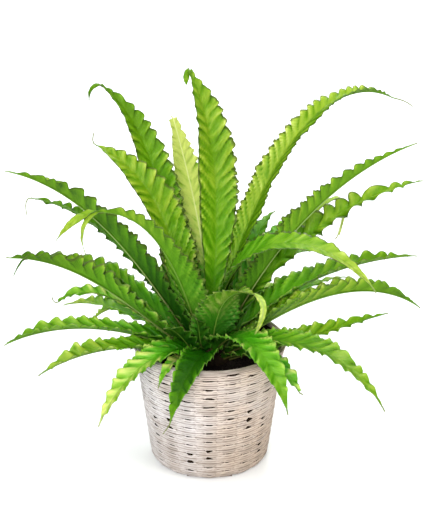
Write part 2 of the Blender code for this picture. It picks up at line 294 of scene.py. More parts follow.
class Graph:
    """A node tree, and short ways to add to it."""

    def __init__(self, tree):
        self.tree = tree

    def fill(self, socket, value):
        if isinstance(value, Term):
            self.tree.links.new(value.socket, socket)
        elif value is not None:
            socket.default_value = (*value, 1) if socket.type == "RGBA" else value

    def fill_all(self, node, **sockets):
        for name, value in sockets.items():
            self.fill(node.inputs[name.replace("_", " ")], value)

    def terms(self, kind, outputs, *inputs, **named):
        """Outputs of a new node. Small names are its settings, and capital names its inputs."""
        made = self.tree.nodes.new(kind)
        for name in [name for name in named if name.islower()]:
            setattr(made, name, named.pop(name))
        for socket, value in zip([s for s in made.inputs if s.enabled], inputs):
            self.fill(socket, value)
        self.fill_all(made, **named)
        shown = {s.name: Term(self, s) for s in made.outputs if s.enabled}
        return [shown[name] for name in outputs or list(shown)[:1]]

    def term(self, kind, *inputs, out=None, **named):
        return self.terms(kind, [out] if out else None, *inputs, **named)[0]

    def build(self, kind, *inputs, **named):
        """The first output, or the one named, of a geometry node."""
        return self.term("GeometryNode" + kind, *inputs, **named)

    def attributes(self, *names, kind="FLOAT"):
        return [self.build("InputNamedAttribute", name, data_type=kind) for name in names]

    def grid(self, columns, rows):
        """A sheet of a metre each way about the origin, and the x and y of its points."""
        sheet = self.build("MeshGrid", 1.0, 1.0, columns, rows, out="Mesh")
        place = self.build("InputPosition")
        return sheet, place.part("X"), place.part("Y")

    def random(self, seed, low, high):
        """A number or a vector between low and high, of its own for each thing."""
        kind = "FLOAT_VECTOR" if isinstance(low, tuple) else "FLOAT"
        return self.term("FunctionNodeRandomValue", low, high, data_type=kind, Seed=seed)


def graph_of(*values):
    return next(value.graph for value in values if isinstance(value, Term))


def maths(operation, *values):
    return graph_of(*values).term("ShaderNodeMath", *values, operation=operation)


sin = partial(maths, "SINE")
cos = partial(maths, "COSINE")
sign = partial(maths, "SIGN")
size = partial(maths, "ABSOLUTE")
least = partial(maths, "MINIMUM")
most = partial(maths, "MAXIMUM")


def vector(x, y, z):
    return graph_of(x, y, z).term("ShaderNodeCombineXYZ", x, y, z)


def ramp(value, low, high, start=0.0, end=1.0, kind="SMOOTHSTEP"):
    """start where value is low, end where it is high, and a smooth way between."""
    return value.graph.term(
        "ShaderNodeMapRange", value, low, high, start, end, interpolation_type=kind, clamp=True
    )


straight = partial(ramp, kind="LINEAR")     # a ramp that goes evenly from start to end


def noise(where, scale, detail=2.0):
    """A noise about nought, from -1 to 1, at a place or along a number."""
    place = {"Vector": where} if where.is_vector() else {"W": where}
    kind = "3D" if where.is_vector() else "1D"
    made = where.graph.term(
        "ShaderNodeTexNoise", noise_dimensions=kind, Scale=scale, Detail=detail, **place
    )
    return made * 2 - 1


def stored(geometry, **values):
    """A geometry with values kept on it as named attributes."""
    for name, value in values.items():
        kind = "FLOAT_VECTOR" if isinstance(value, Term) and value.is_vector() else "FLOAT"
        geometry = geometry.graph.build(
            "StoreNamedAttribute", geometry, data_type=kind, Name=name, Value=value
        )
    return geometry


def moved(geometry, position=None, offset=None):
    return geometry.graph.build("SetPosition", geometry, Position=position, Offset=offset)


def covered(geometry, finish, selection=None):
    return geometry.graph.build("SetMaterial", geometry, Selection=selection, Material=finish)


def flipped(geometry):
    return geometry.graph.build("FlipFaces", geometry)


def welded(geometry, distance=1e-6):
    return geometry.graph.build("MergeByDistance", geometry, Distance=distance)


def joined(*geometries):
    graph = geometries[0].graph
    made = graph.tree.nodes.new("GeometryNodeJoinGeometry")
    for geometry in reversed(geometries):
        graph.tree.links.new(geometry.socket, made.inputs[0])
    return Term(graph, made.outputs[0])


def thickened(sheet, depth, along=None):
    """A closed body from a sheet, grown by depth along its normals or in one direction."""
    thick = sheet.graph.build("ExtrudeMesh", sheet, Offset=along, Offset_Scale=depth, Individual=False)
    return welded(joined(thick, flipped(sheet)))


def spread(points, piece, rotation=None, scale=None):
    """Real copies of a piece, one on each point."""
    graph = points.graph
    return graph.build("RealizeInstances", graph.build(
        "InstanceOnPoints", points, Instance=piece, Rotation=rotation, Scale=scale
    ))


def copies(piece, count, label, first=0):
    """Copies of a piece, each with its own number in the attribute label, from first on."""
    graph = piece.graph
    line = graph.build("MeshLine", count, Offset=(0, 0, 0))
    return spread(stored(line, **{label: graph.build("InputIndex") + first}), piece)


def geometry_group(name, **inputs):
    """A geometry tree with named number inputs, and the terms they come from."""
    tree = bpy.data.node_groups.new(name, "GeometryNodeTree")
    tree.interface.new_socket("Geometry", in_out="INPUT", socket_type="NodeSocketGeometry")
    tree.interface.new_socket("Geometry", in_out="OUTPUT", socket_type="NodeSocketGeometry")
    for word, value in inputs.items():
        made = tree.interface.new_socket(word, in_out="INPUT", socket_type="NodeSocketFloat")
        made.default_value = value
    graph = Graph(tree)
    given = [socket for socket in tree.nodes.new("NodeGroupInput").outputs if socket.name]
    return graph, SimpleNamespace(**{socket.name.lower(): Term(graph, socket) for socket in given})


def closed_group(geometry, smooth=True):
    graph = geometry.graph
    if smooth:
        geometry = graph.build("SetShadeSmooth", geometry)
    out = graph.tree.nodes.new("NodeGroupOutput")
    graph.tree.links.new(geometry.socket, out.inputs[0])
    return graph.tree


def mesh_of(name, points, edges=(), faces=(), finish=None):
    mesh = bpy.data.meshes.new(name)
    mesh.from_pydata(points, edges, faces)
    if finish:
        mesh.materials.append(finish)
    return mesh


def placed(name, data):
    """A new object in the scene."""
    made = bpy.data.objects.new(name, data)
    bpy.context.scene.collection.objects.link(made)
    return made


def grown(name, mesh, tree, **values):
    """A plain mesh object that a geometry tree makes from mesh, with its named inputs set."""
    host = placed(name, mesh)
    modifier = host.modifiers.new("growth", "NODES")
    modifier.node_group = tree
    for item in tree.interface.items_tree:
        if item.item_type == "SOCKET" and item.in_out == "INPUT" and item.name in values:
            modifier[item.identifier] = float(values[item.name])
    depsgraph = bpy.context.evaluated_depsgraph_get()
    result = bpy.data.meshes.new_from_object(
        host.evaluated_get(depsgraph), preserve_all_data_layers=True, depsgraph=depsgraph
    )
    host.modifiers.clear()
    host.data = result
    bpy.data.meshes.remove(mesh)
    result.name = name
    return host


def stands_for(piece, slot, *nodes):
    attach(piece, "root")
    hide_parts(*nodes)


# -------------------- finishes


def finish_graph(name):
    made = bpy.data.materials.new(name)
    made.use_nodes = True
    return made, Graph(made.node_tree), made.node_tree.nodes["Principled BSDF"]


def mixed(share, one, other):
    """One colour where share is 0, the other where it is 1."""
    return graph_of(share, one, other).term("ShaderNodeMix", share, one, other, data_type="RGBA")


def layered(colour, *layers):
    """A colour under others, each of which is given with its share, the lowest first."""
    for share, over in layers:
        colour = mixed(share, colour, over)
    return colour


def surface_values(graph, *names, out="Fac"):
    return [graph.term("ShaderNodeAttribute", attribute_name=name, out=out) for name in names]


def bump(height, distance, strength=1.0):
    return height.graph.term("ShaderNodeBump", Height=height, Distance=distance, Strength=strength)


def object_place(graph):
    return graph.term("ShaderNodeTexCoord", out="Object")


LEAF_DARK = (0.004, 0.066, 0.0005)
LEAF_MIDDLE = (0.042, 0.280, 0.0005)
LEAF_RIPE = (0.115, 0.290, 0.0005)
LEAF_FRESH = (0.110, 0.500, 0.006)
LEAF_LIGHT = (0.340, 0.495, 0.020)
LEAF_YELLOW = (0.740, 0.820, 0.180)
LEAF_DULL = (0.200, 0.330, 0.110)
LEAF_GLOW = (0.400, 0.620, 0.010)
RIB_PALE = (0.110, 0.230, 0.020)
RIB_BROWN = (0.060, 0.046, 0.010)
RIB_BRIGHT = (0.900, 0.950, 0.400)
RIB_UNDER = (0.320, 0.410, 0.140)
RIB_THREAD = (0.190, 0.170, 0.085)
MARGIN = (0.060, 0.085, 0.012)
MARGIN_FRESH = (0.060, 0.150, 0.012)
MARGIN_DRY = (0.110, 0.065, 0.025)
FRINGE = (0.230, 0.520, 0.030)

VEIN_PITCH = 1.5 * MM
SEEN_THROUGH = 0.22         # share of the light that passes through a blade


def rib_green(tone):
    return mixed(ramp(tone, 0.8, 1.05), RIB_PALE, RIB_BRIGHT)


def leaf_finish(name, dull, roughness, gloss):
    """Living blade: parallel veins slant from the midrib to the margin. Pleat crests are painted paler
    as painted highlight, and creases and the blade near the root crown darker as painted shade.
    """
    made, graph, shader = finish_graph(name)
    tone, share, across, ripe = surface_values(graph, "tone", "share", "across", "ripe")
    blade = surface_values(graph, "blade", out="Vector")[0]
    aside, pleat_run, ridge = (blade.part(axis) for axis in "XYZ")
    out = size(across)
    where = object_place(graph)
    height = where.part("Z")
    off_axis = (where.part("X") ** 2 + where.part("Y") ** 2) ** 0.5
    blotch = noise(where, 22.0, 3.0)
    fleck = noise(where, 260.0)
    crinkle = noise(vector(aside * 90, pleat_run * 130, tone * 9), 1.0, 3.0)

    # the pleat crests (ridge) are painted paler here, as painted highlight
    shade = tone + blotch * 0.18 + ridge * out * 0.62 + crinkle * 0.26 + fleck * 0.03
    # crease_shade: the creases between pleats painted darker, as painted shade
    crease_shade = ramp(ridge, -0.95, -0.40, 0.30, 0.0) * ramp(out, 0.05, 0.5)
    shade = shade - crease_shade - ramp(crinkle, -0.7, -0.2, 0.20, 0.0)
    ripe = straight(ripe + blotch * 0.1, 0.15, 0.85)
    light = mixed(ripe, LEAF_FRESH, LEAF_LIGHT)
    vein = sin(pleat_run * (TURN / VEIN_PITCH) + fleck * 1.5)
    near_rib = ramp(size(aside), 0.3 * MM, 1.4 * MM, 1.0, 0.0)
    high = ramp(height, 0.18, 0.27)
    dried = ramp(out - ridge * 0.04 + blotch * 0.06, 0.85, 0.96, 0.0, 0.8)
    # deep: painted shade, darker towards the root crown and low down
    deep = ramp(off_axis + blotch * 0.01, 0.03, 0.10, 0.75, 0.0)
    colour = layered(
        LEAF_DARK,
        (straight(shade, 0.0, 0.5), mixed(ripe, LEAF_MIDDLE, LEAF_RIPE)),
        (straight(shade, 0.5, 0.8), light),
        (straight(shade, 0.8, 1.05), LEAF_YELLOW),
        (ramp(vein, 0.2, 1.0, 0.0, 0.26), light),
        (near_rib * ramp(tone, 0.7, 1.0, 0.08, 0.9), rib_green(tone)),
        (dull, LEAF_DULL),
        (ramp(share, 0.0, 0.06, 0.5, 0.0), RIB_BROWN),
        (ramp(out + blotch * 0.12, 0.80, 0.97, 0.0, 0.5) * (1 - high), FRINGE),
        (dried * high * ramp(tone, 0.7, 1.0, 1.0, 0.2), MARGIN),
        # painted shade near the root crown
        (deep * ramp(height, 0.17, 0.29, 1.0, 0.0), LEAF_DARK),
    )
    graph.fill_all(
        shader,
        Base_Color=colour,
        Roughness=noise(where, 90.0) * 0.08 + roughness,
        Specular_IOR_Level=ramp(shade, 0.3, 1.0, 0.4, 1.6) * gloss,
        Normal=bump(vein * 0.12 + crinkle * 1.8 + noise(where, 700.0) * 0.2, 0.8 * MM),
    )
    lit = mixed(0.45, colour, mixed(ripe, LEAF_FRESH, LEAF_GLOW))
    glow = graph.term("ShaderNodeBsdfTranslucent", lit)
    both = graph.term("ShaderNodeMixShader", SEEN_THROUGH, Term(graph, shader.outputs[0]), glow)
    graph.fill(graph.tree.nodes["Material Output"].inputs["Surface"], both)
    return made


def rib_finish():
    """Midrib: brown and dry where it leaves the crown, pale green further out."""
    made, graph, shader = finish_graph("midrib")
    share, tone, beneath = surface_values(graph, "share", "tone", "beneath")
    where = object_place(graph)
    drying = noise(where, 60.0, 3.0)
    colour = layered(
        rib_green(tone),
        (ramp(share + drying * 0.06 + tone * 0.2, 0.20, 0.50, 0.85, 0.0), RIB_BROWN),
        (beneath * ramp(share, 0.10, 0.30) * ramp(share, 0.6, 0.95, 0.85, 0.3), RIB_UNDER),
        (ramp(share + drying * 0.02, 0.98, 1.03, 0.0, 0.7), RIB_THREAD),
    )
    graph.fill_all(
        shader,
        Base_Color=colour,
        Roughness=noise(where, 150.0) * 0.1 + 0.6,
        Specular_IOR_Level=0.25,
        Normal=bump(noise(where, 900.0), 0.1 * MM),
    )
    return made


def margin_finish():
    """The blade's cut edge: darker, and dry in places."""
    made, graph, shader = finish_graph("leaf_margin")
    where = object_place(graph)
    colour = mixed(ramp(noise(where, 35.0, 3.0), -0.1, 0.5), MARGIN_FRESH, MARGIN_DRY)
    graph.fill_all(shader, Base_Color=colour, Roughness=noise(where, 150.0) * 0.1 + 0.6)
    return made


WASH_COOL_LIT_SIDE = (0.640, 0.605, 0.600)
WASH_WARM_SHADED_SIDE = (0.590, 0.460, 0.355)
WASH_CHALK = (0.600, 0.545, 0.505)
WASH_SMEAR = (0.300, 0.270, 0.250)
WOOD_FIBRE = (0.300, 0.215, 0.160)
WOOD_BARE = (0.330, 0.275, 0.225)
WOOD_CRACK_SHADE = (0.095, 0.062, 0.044)
WOOD_SEAM_SHADE = (0.050, 0.032, 0.022)
WOOD_FOOT = (0.215, 0.158, 0.108)
WOOD_HIDDEN_SHADE = (0.018, 0.012, 0.008)


def whitewash_finish():
    """Split wood under thin whitewash: long fibres, grey smears and bare wood in places. Painted light
    and shade in patches: cool grey to the left and warm beige to the right, darker in the grooves, along
    the weavers' edges and under the rim's strands, and near black where it is hidden.
    """
    made, graph, shader = finish_graph("whitewashed_wood")
    where = object_place(graph)
    height = where.part("Z")
    strip = surface_values(graph, "run", out="Vector")[0]
    run, off, strand = (strip.part(axis) for axis in "XYZ")
    hidden, groove, bare, seam = surface_values(graph, "hidden", "groove", "bare", "seam")
    fibre = noise(vector(run * 14, off * 900, strand * 3.7), 1.0, 4.0)
    streak = noise(vector(run * 30, off * 240, strand * 1.3), 1.0)
    broken = noise(vector(run * 28, off * 60, strand * 5.3), 1.0, 1.0)
    patch = noise(where, 14.0)
    colour = layered(
        WASH_COOL_LIT_SIDE,
        # painted light and shade: cooler and paler to the left, warmer and darker to the right
        (ramp(where.part("X") * 6 + patch * 0.7, -0.6, 0.7), WASH_WARM_SHADED_SIDE),
        (ramp(streak, -0.1, 0.7, 0.0, 0.6), WASH_CHALK),
        (ramp(noise(where, 26.0, 3.0), 0.15, 0.6, 0.0, 0.45), WASH_SMEAR),
        (ramp(fibre, 0.10, 0.7, 0.0, 0.5), WOOD_FIBRE),
        (ramp(bare + streak * 0.3, 0.45, 1.0, 0.0, 0.33), WOOD_BARE),
        # painted shade in the grooves between the fibres and under the rim's strands
        (groove * ramp(streak + patch * 0.5, -0.4, 0.4, 0.45, 1.0), WOOD_CRACK_SHADE),
        # painted shade along the weavers' edges, in broken lines
        (seam * ramp(broken + height * 4.0 - 0.4, -0.15, 0.25), WOOD_SEAM_SHADE),
        (ramp(height, 0.0, 0.10, 0.38, 0.0), WOOD_FOOT),
        # painted shade: near black on the hidden faces
        (straight(hidden, 0.1, 0.6), WOOD_HIDDEN_SHADE),
    )
    graph.fill_all(
        shader,
        Base_Color=colour,
        Roughness=fibre * 0.1 + 0.78,
        Specular_IOR_Level=ramp(hidden, 0.0, 0.5, 0.4, 0.0),
        Normal=bump(fibre + streak * 0.6, 0.35 * MM, 0.9),
    )
    return made


def plain_finish(name, one, other, scale, roughness, depth, gloss=0.1):
    """A material that is mottled from one colour to the other."""
    made, graph, shader = finish_graph(name)
    grain = noise(object_place(graph), scale, 5.0)
    graph.fill_all(
        shader,
        Base_Color=mixed(ramp(grain, -0.6, 0.6), one, other),
        Roughness=grain * 0.1 + roughness,
        Specular_IOR_Level=gloss,
        Normal=bump(grain, depth),
    )
    return made


# -------------------- fronds


def heading(turn, lean):
    """Unit vector that leans from straight up, towards turn."""
    flat = math.sin(lean)
    return Vector((flat * math.cos(turn), flat * math.sin(turn), math.cos(lean)))


def spine_of(base_turn, tip_turn, reach, rise, base_lean, tip_lean, holds):
    """Points along a frond's midrib, from inside the root crown to the tip."""
    centre = Vector((0, 0, CROWN_CENTRE))
    start = heading(base_turn, base_lean)
    base = centre + start * (CROWN_RADIUS + GAP)
    tip = Vector((reach * math.cos(tip_turn), reach * math.sin(tip_turn), CROWN_CENTRE + rise))
    end = heading(2 * tip_turn - base_turn, tip_lean)
    turning = start.angle(end)
    handle = (tip - base).length * 2 / 3 * math.tan(turning / 4) / math.sin(turning / 2)
    leaving, arriving = base + start * handle * holds[0], tip - end * handle * holds[1]
    points = interpolate_bezier(base, leaving, arriving, tip, SPINE_STEPS)
    return [base - start * ROOTED] + points


def bent_line(start, before, bend, end, steps):
    """Points from the start, on the way that a line came to it, and over a bend to the end."""
    on = (start - before).normalized()
    return interpolate_bezier(start, start + on * (bend - start).length * 0.5, bend, end, steps)


def tail_of(number, spine):
    """Points of the bare tip that carries on from a spine."""
    before, tip = spine[-2:]
    on = (tip - before).normalized()
    if number in TAILS:
        bend, end = (tip + Vector(offset) * MM for offset in TAILS[number])
    else:
        bend = tip + on * PLAIN_TAIL * 0.7
        end = bend + (on * 0.6 + Vector((0, 0, -0.4))) * PLAIN_TAIL * 0.4
    return bent_line(tip, before, bend, end, TAIL_STEPS)[1:]


def run_of(points):
    return sum((b - a).length for a, b in zip(points, points[1:]))


def line_mesh(name, points):
    return mesh_of(name, points, edges=[(i, i + 1) for i in range(len(points) - 1)])


def blade_frame(given, along, share):
    """The directions across the blade and out of its upper face, at a share of its length."""
    turn = given.base_turn + (given.tip_turn - given.base_turn) * 2 * share
    up = along.cross(vector(-sin(turn), cos(turn), 0.0)).unit()
    side = up.cross(along)
    tilt = given.roll * least(share * 2.5, 1.0) + given.twist * ramp(share, 0.45, 1.0)
    return side * cos(tilt) + up * sin(tilt), up * cos(tilt) - side * sin(tilt)


def midrib_rod(graph, given, spine, steps):
    """A rod along a spine, most of it under the blade, that thins and carries on as the bare tip."""
    line = graph.build("ResampleCurve", spine, Count=steps)
    share = graph.build("SplineParameter", out="Factor") / given.blade_part
    line = stored(line, share=share)
    upper = blade_frame(given, graph.build("InputTangent"), share)[1]
    radius = given.rib * (ramp(share, 0.0, 0.3, 1.0, 0.66) - ramp(share, 0.3, 1.0, 0.0, 0.36))
    radius = radius + ramp(share, 0.9, 1.0) * ramp(share, 1.0, 1.12, 0.7, 0.1) * (0.6 * MM)
    line = moved(line, offset=upper * radius * ramp(share, 0.85, 1.0, -0.7, 0.0))
    line = stored(line, upper=upper)
    profile = graph.build("CurvePrimitiveCircle", 8, 1.0)
    rod = graph.build("CurveToMesh", line, profile, Scale=radius, Fill_Caps=True)
    facing = graph.build("InputNormal").dot(*graph.attributes("upper", kind="FLOAT_VECTOR"))
    return stored(rod, beneath=ramp(facing, -0.5, 0.2, 1.0, 0.0) * given.pale_rib)


def blade_group(upper_leaf, under_leaf, margin_edge, rib):
    """A blade along a line: a strap with pleats that slant out from the midrib to a ruffled margin."""
    graph, given = geometry_group(
        "fern_blade",
        width=0.036, fold=0.2, roll=0, twist=0, base_turn=0, tip_turn=0, blade_part=0.95, tone=0.5,
        stalk_width=STALK_WIDTH, rib=MIDRIB, widen_by=WIDEN_BY, taper=TAPER, tip_width=TIP_WIDTH,
        tip_fold=0.1, pleat_length=0.018, pleat_height=0.0019, ruffle_height=0.0016, lobes=0.4,
        lobes_from=0.45, tip_tone=0, root_tone=0, right_tone=0, ripe=0, pale_rib=0, seed=0,
    )
    spine = graph.build("MeshToCurve", given.geometry)
    length = graph.build("CurveLength", spine) * given.blade_part
    steps = length / STEP + 12
    sheet, x, y = graph.grid(2 * ACROSS + 1, steps)
    sheet = stored(sheet, across=x * -2, share=y + 0.5)
    across, share = graph.attributes("across", "share")
    out = size(across)
    right = across > 0

    def wander(per_metre, salt):
        """A slow change along the blade, of its own on each side."""
        return noise(share * length * per_metre + right * (salt + 7.3) + given.seed * salt, 1.0, 1.0)

    strap = given.stalk_width + (given.width - given.stalk_width) * ramp(share, 0.0, given.widen_by)
    strap = strap * cos(share ** given.taper * (math.pi / 2)) * (wander(30, 3.1) * 0.10 + 1)
    plain_half = most(strap, given.tip_width) * 0.5
    full = ramp(share, 0.03, 0.18) * (least(plain_half * 2 / given.width, 1.0) ** 0.6)
    ending = ramp(share, given.lobes_from, given.lobes_from + 0.4)
    lobes = ending * given.lobes

    swing = wander(22, 5.3)
    behind = most(share - out * plain_half * (SLANT * (1 - ending * 0.4)) / length, 0.0)
    pleat = behind ** 0.92 * (length / given.pleat_length) * TURN + swing * 4.0 + right * 1.9
    ruffle = pleat * 2 + wander(40, 1.7) * 1.6
    scallop = size(sin(pleat * 0.5 + math.pi / 4)) * 2 - 1.27
    rounded = least(lobes * 0.6, 1.0)
    wave = sin(pleat) * (1 - rounded) + scallop * rounded
    scalloped = wave * (lobes * 0.07 + full * 0.025) + sin(ruffle) * full * out ** 2 * 0.03
    half = plain_half * (scalloped + 1)

    restless = wander(45, 4.9) * 0.85 + 1
    pleat_height = given.pleat_height * (lobes + 1) * restless
    ruffle_height = given.ruffle_height * (swing * 0.5 + 1) * (1 - ending * 0.6)
    pleat_lift = wave * pleat_height * (out * 0.8 + out ** 3 * 0.2)
    ruffle_lift = sin(ruffle) * ruffle_height * (out ** 2.4)
    flop = wander(11, 2.3)
    dent = noise(vector(plain_half * across * 45, share * length * 75, given.seed * 5.1), 1.0, 1.0)
    crest = (pleat_lift + ruffle_lift) * full + (flop * 4.5 + dent * 2.2) * out * full * MM
    lean_over = cos(ruffle) * ruffle_height * -0.5 - cos(pleat) * pleat_height * 0.3
    lean_over = lean_over * full * (out ** 3)

    point, along = graph.terms(
        "GeometryNodeSampleCurve", ["Position", "Tangent"],
        mode="FACTOR", Curves=spine, Factor=share * given.blade_part,
    )
    along = along.unit()
    margin, upper = blade_frame(given, along, share)
    fold = given.fold * (flop * 0.4 + 1.3) + ramp(share, 0.0, 0.22, 0.45, 0.0)
    fold = fold + given.tip_fold * ramp(share, 0.3, 0.75)
    away = margin * (half * across * cos(fold))
    lift = upper * (half * out * sin(fold) + crest)
    # ridge drives the painted highlight on the crests and the painted shade in the creases
    ridge = wave * 0.6 + sin(ruffle) * out * 0.4
    ridge = ridge * ramp(given.pleat_height, 0.2 * MM, 1.4 * MM, 0.15, 1.0) * (restless * 0.6 + 0.4)
    sheet = stored(sheet, blade=vector(half * across, behind * length, ridge * full))
    sheet = moved(sheet, position=point + away + lift + along * lean_over)

    solid, top, side = graph.terms(
        "GeometryNodeExtrudeMesh", ["Mesh", "Top", "Side"],
        sheet, Offset_Scale=BLADE_THICK, Individual=False,
    )
    solid = covered(covered(solid, upper_leaf, top), margin_edge, side)
    solid = welded(joined(solid, covered(flipped(sheet), under_leaf)))

    rod = covered(midrib_rod(graph, given, spine, steps * 0.4), rib)
    tone = given.tone + given.tip_tone * ramp(share, 0.5, 1.0)
    # the root's tone also carries painted shade: the back and heart fronds are darker there
    tone = tone + given.root_tone * ramp(share, 0.1, 0.55, 1.0, 0.0)
    # painted light and shade on the blade's right half
    tone = tone + given.right_tone * ramp(across, -0.15, 0.15, 1.0, 0.0)
    return closed_group(stored(joined(solid, rod), ripe=share + given.ripe, tone=tone))


def one_piece(name, pieces):
    """One object from several, under a new name."""
    with bpy.context.temp_override(
        active_object=pieces[0], object=pieces[0], selected_objects=pieces,
        selected_editable_objects=pieces,
    ):
        bpy.ops.object.join()
    pieces[0].name = name
    pieces[0].data.name = name
    return pieces[0]


def fork(number, values, spine, share, width, bend, end, paler, tree):
    """A hooked or second tip: a narrow blade that leaves a frond near its end."""
    at = round(share * (len(spine) - 1))
    start = spine[at]
    bend, end = (start + Vector(offset) * MM for offset in (bend, end))
    points = bent_line(start, spine[at - 1], bend, end, SPINE_STEPS // 2)
    turn = math.atan2(end.y - start.y, end.x - start.x)
    own = dict(
        width=width * MM, fold=0.2, roll=math.cos(turn), twist=0.3, base_turn=turn, tip_turn=turn,
        stalk_width=width * MM * 0.6, rib=0.0007, blade_part=0.97, taper=TAPER, tip_width=TIP_WIDTH,
        lobes=0, pleat_height=0.0004, ruffle_height=0.0003, root_tone=0,
        ripe=values["ripe"] + 0.6, tone=values["tone"] + values["tip_tone"] * share + paler,
    )
    name = f"fork_{number}_{at}"
    return grown(name, line_mesh(name, points), tree, **{**values, **own})


def grow_frond(number, row, tree):
    *row, tone, tip_tone, root_tone, ripe = row
    base_turn, tip_turn, _, _, base_lean, tip_lean, _, roll, fold = map(math.radians, row)
    _, _, reach, rise, _, _, width, _, _ = (measure * MM for measure in row)
    node = f"frond_{number:02d}"
    name = f"ruffled_{node}"
    holds = HOLDS.get(number, (1, 1))
    spine = spine_of(base_turn, tip_turn, reach, rise, base_lean, tip_lean, holds)
    tail = tail_of(number, spine)
    run = run_of(spine)
    values = dict(
        width=width * FULLER, fold=fold, roll=roll, twist=MOST_TWIST * math.sin(number * 2.4),
        base_turn=base_turn, tip_turn=tip_turn, blade_part=run / (run + run_of(spine[-1:] + tail)),
        tone=tone, tip_tone=tip_tone, root_tone=root_tone, ripe=ripe, seed=number,
    )
    values.update(OWN.get(number, {}))
    pieces = [grown(name, line_mesh(node, spine + tail), tree, **values)]
    pieces += [fork(number, values, spine, *rest, tree) for owner, *rest in FORKS if owner == number]
    stands_for(one_piece(name, pieces), "leaf", node)


leaf_upper = leaf_finish("leaf_upper", 0.0, 0.36, 0.30)
leaf_under = leaf_finish("leaf_under", 0.08, 0.55, 0.2)
blade = blade_group(leaf_upper, leaf_under, margin_finish(), rib_finish())
for count, row in enumerate(FRONDS, 1):
    grow_frond(count, row, blade)


# -------------------- basket


def wall_line(run, proud):
    """The wall's outside at a run up from its foot, round the foot's corner and on up the side.

    Gives the radius and the height of a point that stands proud of it, square to the wall.
    """
    flare = (RIM_RADIUS - FOOT_RADIUS) / SIDE_RUN
    angle = least(most(run / FOOT_ROUND, -0.4), math.pi / 2)
    up = most(run - FOOT_RUN, 0.0)
    on_side = run > FOOT_RUN
    radius = FOOT_RADIUS - FOOT_ROUND + sin(angle) * (FOOT_ROUND + proud) + up * flare
    rise = (BASKET_HEIGHT - FOOT_ROUND) / SIDE_RUN
    height = FOOT_ROUND - cos(angle) * (FOOT_ROUND + proud) + up * rise
    return radius, height - on_side * proud * flare


def round_the_wall(turn, radius, height):
    return vector(cos(turn) * radius, sin(turn) * radius, height)


def weave_group(finish):
    """Rounds of flat split wood that pass in front of every other stake and swell there."""
    graph, given = geometry_group("basket_weave", run=WALL_RUN - HOOP_HEIGHT * 1.1, seed=1)
    strip, x, y = graph.grid(STAKES * ROUND_STEPS + 1, FIBRE_STEPS + 5)
    section = (y + 0.5) * ((FIBRE_STEPS + 4) / FIBRE_STEPS)
    front = straight(section, 0.0, 1.0, -1.75, 1.75)
    behind = straight(section, 1.0, 1 + 4 / FIBRE_STEPS, 0.0, TURN - 3.5)
    mesh = copies(stored(strip, round=x + 0.5, section=front + behind), WEAVERS, "weaver")

    weaver, turn, around = graph.attributes("weaver", "round", "section")
    turn = turn * TURN
    circle = round_the_wall(turn, 1.0, weaver * 7.7 + given.seed)
    uneven = noise(circle, 3.0)
    ragged = noise(circle + (3.0, 5.0, 0.4), 9.0)
    slack = ramp(weaver, WEAVERS * 0.45, WEAVERS * 0.75)
    beat = turn * (STAKES / 2) + weaver * math.pi
    swing = cos(beat)
    skew = sin(beat) * sign(swing)
    swell = ramp(size(swing) + skew * 0.06, 0.36, 0.70)
    nearest = maths("ROUND", turn * (STAKES / TURN))
    nearest = nearest - maths("FLOOR", nearest / STAKES + 0.01) * STAKES
    loose, colour = graph.terms(
        "ShaderNodeTexWhiteNoise", ["Value", "Color"],
        vector(nearest, weaver, given.seed), noise_dimensions="3D",
    )
    lean, reach = graph.terms("FunctionNodeSeparateColor", ["Green", "Blue"], colour)

    pitch = given.run / WEAVERS
    middle = (weaver + 0.5) * pitch + uneven * (0.35 * MM)
    slit = loose ** 3 * (SLIT_TALL - SLIT_SHORT) * (1 - slack * 0.6) + SLIT_SHORT * (slack * 0.5 + 1)
    slit = slit * (1 - skew * (lean - 0.3) * 2.2)
    opening = ramp(size(swing) + slack * reach * 0.14, 0.84, 0.89)
    half = pitch * 0.5 + swell * pitch * 0.5 - opening * slit * 0.5 + ragged * (0.12 * MM)
    z = sin(around)
    x = cos(around)
    at = middle + half * (sign(z) * size(z) ** 0.8)
    level = at / pitch
    drift = noise(round_the_wall(turn, 1.0, level * 0.8), 5.0)
    fibre = size(sin((level * 2 + drift * 0.16) * math.pi))
    front = ramp(x, 0.0, 0.5)
    bulge = most(x, 0.0) ** 0.6 * (1.0 * MM) + least(x, 0.0) * (0.45 * MM)
    bulge = bulge + (fibre ** 0.6 - 0.6) * front * (1.0 * MM)
    cup = z * z * swell * swing * (-0.2 * MM)
    out = bulge + cup + swing * (1.5 - swell * 0.2) * IN_AND_OUT * 0.8 + ragged * (0.25 * MM)
    radius, height = wall_line(at, out - WALL * 0.5)
    mesh = stored(
        mesh,
        run=vector(turn * RIM_RADIUS, at, weaver),
        # hidden: painted shade, near black on a weaver's back and where it passes behind a stake, so
        # that the slits look dark
        hidden=most(ramp(x, -0.35, 0.1, 1.0, 0.0), ramp(swing, -0.85, -0.60, 1.0, 0.0)),
        bare=(reach + ragged * 0.2) * front,
        # groove: painted shade in the grooves between the fibres
        groove=ramp(fibre, 0.10, 0.65, 1.0, 0.0) * front,
        # seam: painted shade along the weavers' edges
        seam=ramp(size(z), 0.86, 0.97) * front,
    )
    mesh = moved(mesh, position=round_the_wall(turn, radius, most(height, 0.1 * MM)))
    return closed_group(covered(welded(mesh, 2e-5), finish))


